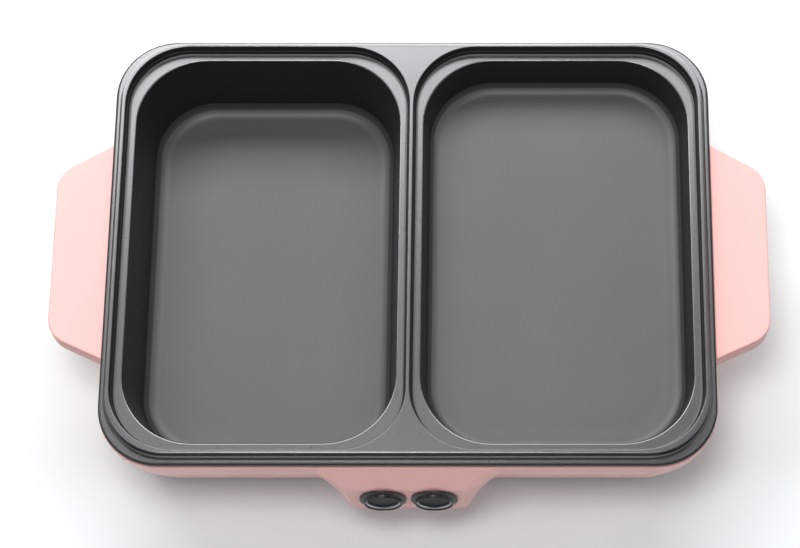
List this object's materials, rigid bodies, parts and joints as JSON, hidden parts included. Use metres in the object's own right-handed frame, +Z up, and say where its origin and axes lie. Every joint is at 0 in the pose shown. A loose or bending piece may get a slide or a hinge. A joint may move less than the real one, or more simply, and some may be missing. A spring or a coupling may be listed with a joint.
{
  "type": "electric twin-basin hot pot and grill",
  "caption": "Low countertop cooker: a die-cast twin pan with a deep and a shallow basin in a moulded body with two wing handles and two rotary knobs in front.",
  "frame": {"origin": "centre of the part's box, at the height of the surface its feet stand on", "axes": "+X to the right of a person who faces the knobs, along the length over the handles; +Y to the back; +Z up"},
  "size_m": [0.379, 0.2536, 0.085],
  "materials": {
    "pink_plastic": "gloss moulded",
    "cover_plastic": "matt moulded",
    "foot_rubber": "matt",
    "screw_steel": "zinc plated",
    "bracket_steel": "plain sheet",
    "ceramic_cream": "ceramic",
    "knob_black": "satin moulded",
    "ring_chrome": "plated ring",
    "coated_pan": "die-cast with a dark non-stick coat",
    "heater_metal": "tube sheath",
    "shield_aluminium": "bright sheet",
    "wire_brown": "insulated wire"
  },
  "bodies": {
    "base": {"base_housing": "pink_plastic", "bottom_cover": "cover_plastic", "rubber_feet": "foot_rubber", "cover_screws": "screw_steel", "left_handle": "pink_plastic", "right_handle": "pink_plastic", "handle_screws": "screw_steel", "control_console": "pink_plastic", "console_screws": "screw_steel", "thermostat_bracket": "bracket_steel", "left_thermostat": "ceramic_cream", "right_thermostat": "ceramic_cream", "pan_seal": "foot_rubber", "twin_pan": "coated_pan", "pan_posts": "bracket_steel", "pan_screws": "screw_steel", "hot_pot_heater": "heater_metal", "grill_heater": "heater_metal", "hot_pot_heater_straps": "bracket_steel", "grill_heater_straps": "bracket_steel", "hot_pot_sensor": "ceramic_cream", "grill_sensor": "ceramic_cream", "heat_shield": "shield_aluminium", "shield_spacers": "ceramic_cream", "thermal_fuse": "heater_metal", "terminal_block": "ceramic_cream", "cord_bush": "foot_rubber", "inner_wiring": "wire_brown"},
    "knob_left": {"left_knob": "knob_black", "left_knob_ring": "ring_chrome", "left_shaft": "screw_steel"},
    "knob_right": {"right_knob": "knob_black", "right_knob_ring": "ring_chrome", "right_shaft": "screw_steel"}
  },
  "joints": [
    {"name": "left_knob_turn", "type": "hinge", "parent": "base", "child": "knob_left", "pos_m": [-0.0134, -0.12297, 0.04804], "axis": [0, 0.9962, -0.0872], "range_deg": [0, 270]},
    {"name": "right_knob_turn", "type": "hinge", "parent": "base", "child": "knob_right", "pos_m": [0.0134, -0.12297, 0.04804], "axis": [0, 0.9962, -0.0872], "range_deg": [0, 270]}
  ]
}
